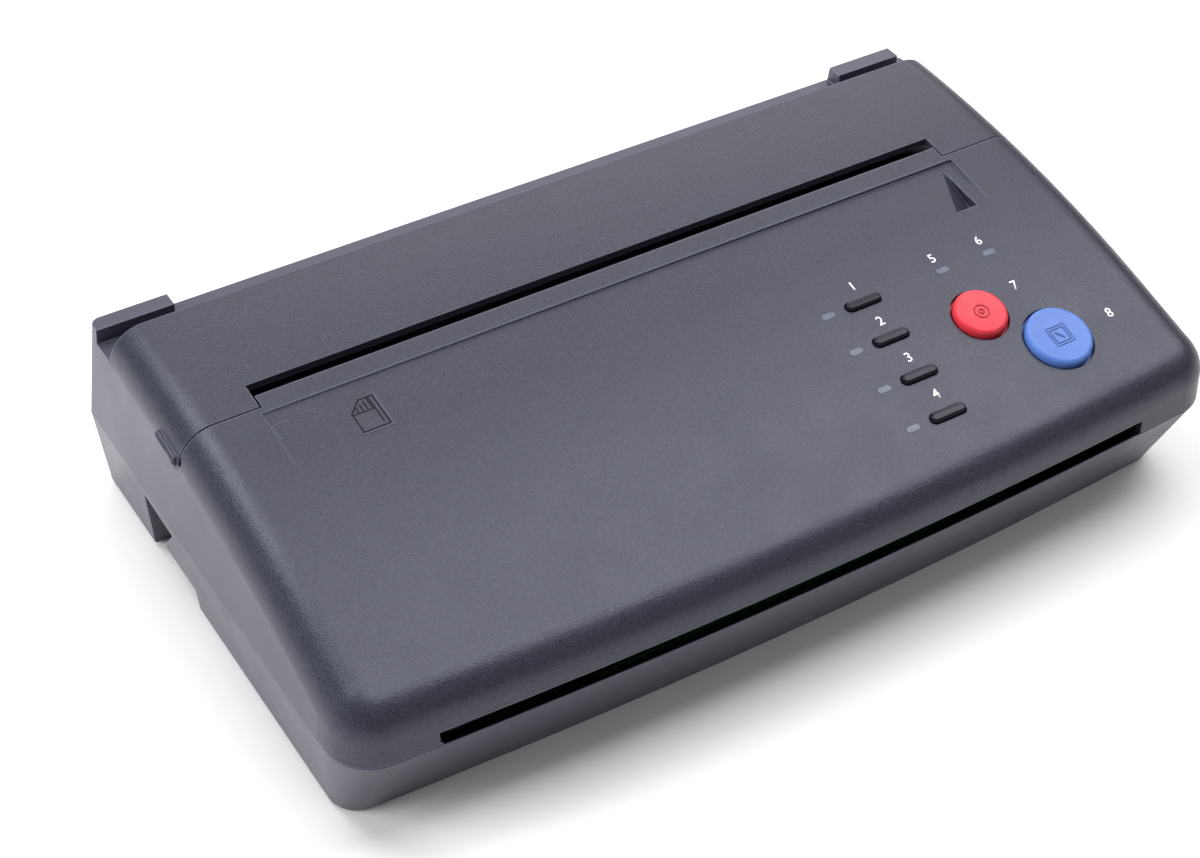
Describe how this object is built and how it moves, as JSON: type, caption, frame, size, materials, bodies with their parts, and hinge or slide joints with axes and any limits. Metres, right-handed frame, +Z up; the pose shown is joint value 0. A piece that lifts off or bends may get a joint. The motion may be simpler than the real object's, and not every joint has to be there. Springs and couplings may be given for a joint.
{
  "type": "thermal stencil copier",
  "caption": "Desktop thermal stencil copier: low wedge case, curved covers with a hinged rear lid, feed slot on top, exit slot in front, sloping panel with keys and two round buttons.",
  "frame": {"origin": "middle of the case's footprint, on the table", "axes": "+X to the user's right along the width, +Y to the rear, +Z up"},
  "size_m": [0.2801, 0.1652, 0.07],
  "materials": {
    "case_plastic": "moulded satin, dark bluish grey",
    "cover_plastic": "fine grained, dark bluish grey",
    "key_black": "gloss black",
    "stop_red": "satin red",
    "copy_blue": "satin blue",
    "lamp_window": "milky translucent",
    "circuit_board": "green solder mask",
    "switch_black": "matt black",
    "led_white": "clear lens",
    "socket_white": "natural nylon",
    "plate_steel": "zinc plated sheet",
    "shaft_steel": "ground shaft",
    "spring_steel": "spring steel",
    "screw_steel": "zinc plated",
    "bush_plastic": "acetal black",
    "gear_plastic": "natural acetal",
    "motor_steel": "black passivated can",
    "head_ceramic": "glazed ceramic",
    "heatsink_aluminium": "extruded",
    "scanner_glass": "clear",
    "pad_rubber": "brown friction pad",
    "roller_rubber": "ground black rubber",
    "white_rubber": "white rubber",
    "foot_rubber": "soft rubber",
    "chip_black": "moulded epoxy"
  },
  "bodies": {
    "case": {"base_case": "case_plastic", "front_cover": "cover_plastic", "mode_lamps": "lamp_window", "status_lamps": "lamp_window", "panel_board": "circuit_board", "tact_switches": "switch_black", "panel_leds": "led_white", "panel_socket": "socket_white", "side_plate_left": "plate_steel", "side_plate_right": "plate_steel", "head_bracket": "plate_steel", "paper_guides": "plate_steel", "idler_stubs": "shaft_steel", "roller_bushes": "bush_plastic", "stepper_motor": "motor_steel", "print_head": "head_ceramic", "head_heatsink": "heatsink_aluminium", "head_springs": "spring_steel", "scanner_bar": "switch_black", "scanner_glass": "scanner_glass", "paper_sensors": "switch_black", "separation_pad": "pad_rubber", "main_board": "circuit_board", "board_parts": "chip_black", "ribbon_cable": "socket_white", "dc_jack": "switch_black", "switch_frame": "switch_black", "rubber_feet": "foot_rubber", "case_screws": "screw_steel", "board_screws": "screw_steel"},
    "lid": {"rear_cover": "cover_plastic", "hinge_pins": "shaft_steel"},
    "mode_key_1": {"mode_key_1": "key_black"},
    "mode_key_2": {"mode_key_2": "key_black"},
    "mode_key_3": {"mode_key_3": "key_black"},
    "mode_key_4": {"mode_key_4": "key_black"},
    "stop_button": {"stop_button": "stop_red"},
    "copy_button": {"copy_button": "copy_blue"},
    "rocker": {"rocker_switch": "key_black"},
    "platen": {"platen_shaft": "shaft_steel", "platen_roller": "roller_rubber", "platen_gear": "gear_plastic"},
    "feed": {"feed_shaft": "shaft_steel", "feed_roller": "roller_rubber", "feed_gear": "gear_plastic"},
    "scan": {"scan_shaft": "shaft_steel", "scan_roller": "white_rubber", "scan_gear": "gear_plastic"},
    "exit": {"exit_shaft": "shaft_steel", "exit_roller": "roller_rubber", "exit_gear": "gear_plastic"},
    "lower_idler": {"lower_idler": "gear_plastic"},
    "upper_idler": {"upper_idler": "gear_plastic"},
    "bridge_idler": {"bridge_idler": "gear_plastic"},
    "front_idler": {"front_idler": "gear_plastic"},
    "motor_rotor": {"motor_pinion": "gear_plastic"}
  },
  "joints": [
    {"name": "lid_hinge", "type": "hinge", "parent": "case", "child": "lid", "pos_m": [0, 0.0645, 0.0629], "axis": [-1, 0, 0], "range_deg": [0, 97]},
    {"name": "mode_key_1_press", "type": "slide", "parent": "case", "child": "mode_key_1", "axis": [0, 0.2093, -0.9779], "range_m": [0, 0.0008], "stiffness_N_per_m": 900, "springref_m": -0.0003},
    {"name": "mode_key_2_press", "type": "slide", "parent": "case", "child": "mode_key_2", "axis": [0, 0.2429, -0.9701], "range_m": [0, 0.0008], "stiffness_N_per_m": 900, "springref_m": -0.0003},
    {"name": "mode_key_3_press", "type": "slide", "parent": "case", "child": "mode_key_3", "axis": [0, 0.2756, -0.9613], "range_m": [0, 0.0008], "stiffness_N_per_m": 900, "springref_m": -0.0003},
    {"name": "mode_key_4_press", "type": "slide", "parent": "case", "child": "mode_key_4", "axis": [0, 0.2756, -0.9613], "range_m": [0, 0.0008], "stiffness_N_per_m": 900, "springref_m": -0.0003},
    {"name": "stop_button_press", "type": "slide", "parent": "case", "child": "stop_button", "axis": [0, 0.2523, -0.9677], "range_m": [0, 0.0008], "stiffness_N_per_m": 1200, "springref_m": -0.0003},
    {"name": "copy_button_press", "type": "slide", "parent": "case", "child": "copy_button", "axis": [0, 0.2756, -0.9613], "range_m": [0, 0.0008], "stiffness_N_per_m": 1200, "springref_m": -0.0003},
    {"name": "rocker_tip", "type": "hinge", "parent": "case", "child": "rocker", "pos_m": [0.121, 0.07469, 0.04556], "axis": [0, -0.1478, 0.989], "range_deg": [-16, 0]},
    {"name": "platen_spin", "type": "hinge", "parent": "case", "child": "platen", "pos_m": [0, 0.04, 0.024], "axis": [1, 0, 0], "continuous": true},
    {"name": "lower_idler_spin", "type": "hinge", "parent": "case", "child": "lower_idler", "pos_m": [0.1212, 0.01952, 0.02484], "axis": [1, 0, 0], "continuous": true},
    {"name": "motor_rotor_spin", "type": "hinge", "parent": "case", "child": "motor_rotor", "pos_m": [0.1212, 0.0045, 0.018], "axis": [1, 0, 0], "continuous": true},
    {"name": "upper_idler_spin", "type": "hinge", "parent": "case", "child": "upper_idler", "pos_m": [0.1212, 0.02085, 0.04128], "axis": [1, 0, 0], "continuous": true},
    {"name": "feed_spin", "type": "hinge", "parent": "case", "child": "feed", "pos_m": [0, 0.015, 0.054], "axis": [1, 0, 0], "continuous": true},
    {"name": "bridge_idler_spin", "type": "hinge", "parent": "case", "child": "bridge_idler", "pos_m": [0.1212, 0.00402, 0.04532], "axis": [1, 0, 0], "continuous": true},
    {"name": "scan_spin", "type": "hinge", "parent": "case", "child": "scan", "pos_m": [0, -0.008, 0.0525], "axis": [1, 0, 0], "continuous": true},
    {"name": "front_idler_spin", "type": "hinge", "parent": "case", "child": "front_idler", "pos_m": [0.1212, -0.02601, 0.0382], "axis": [1, 0, 0], "continuous": true},
    {"name": "exit_spin", "type": "hinge", "parent": "case", "child": "exit", "pos_m": [0, -0.048, 0.0374], "axis": [1, 0, 0], "continuous": true}
  ],
  "couplings": [
    {"joint": "lower_idler_spin", "follows": "platen_spin", "ratio": -0.95238},
    {"joint": "motor_rotor_spin", "follows": "platen_spin", "ratio": 1.6667},
    {"joint": "upper_idler_spin", "follows": "platen_spin", "ratio": 1.6667},
    {"joint": "feed_spin", "follows": "platen_spin", "ratio": -1.25},
    {"joint": "bridge_idler_spin", "follows": "platen_spin", "ratio": 1.6667},
    {"joint": "scan_spin", "follows": "platen_spin", "ratio": -1.25},
    {"joint": "front_idler_spin", "follows": "platen_spin", "ratio": 0.66667},
    {"joint": "exit_spin", "follows": "platen_spin", "ratio": -1.4286}
  ]
}
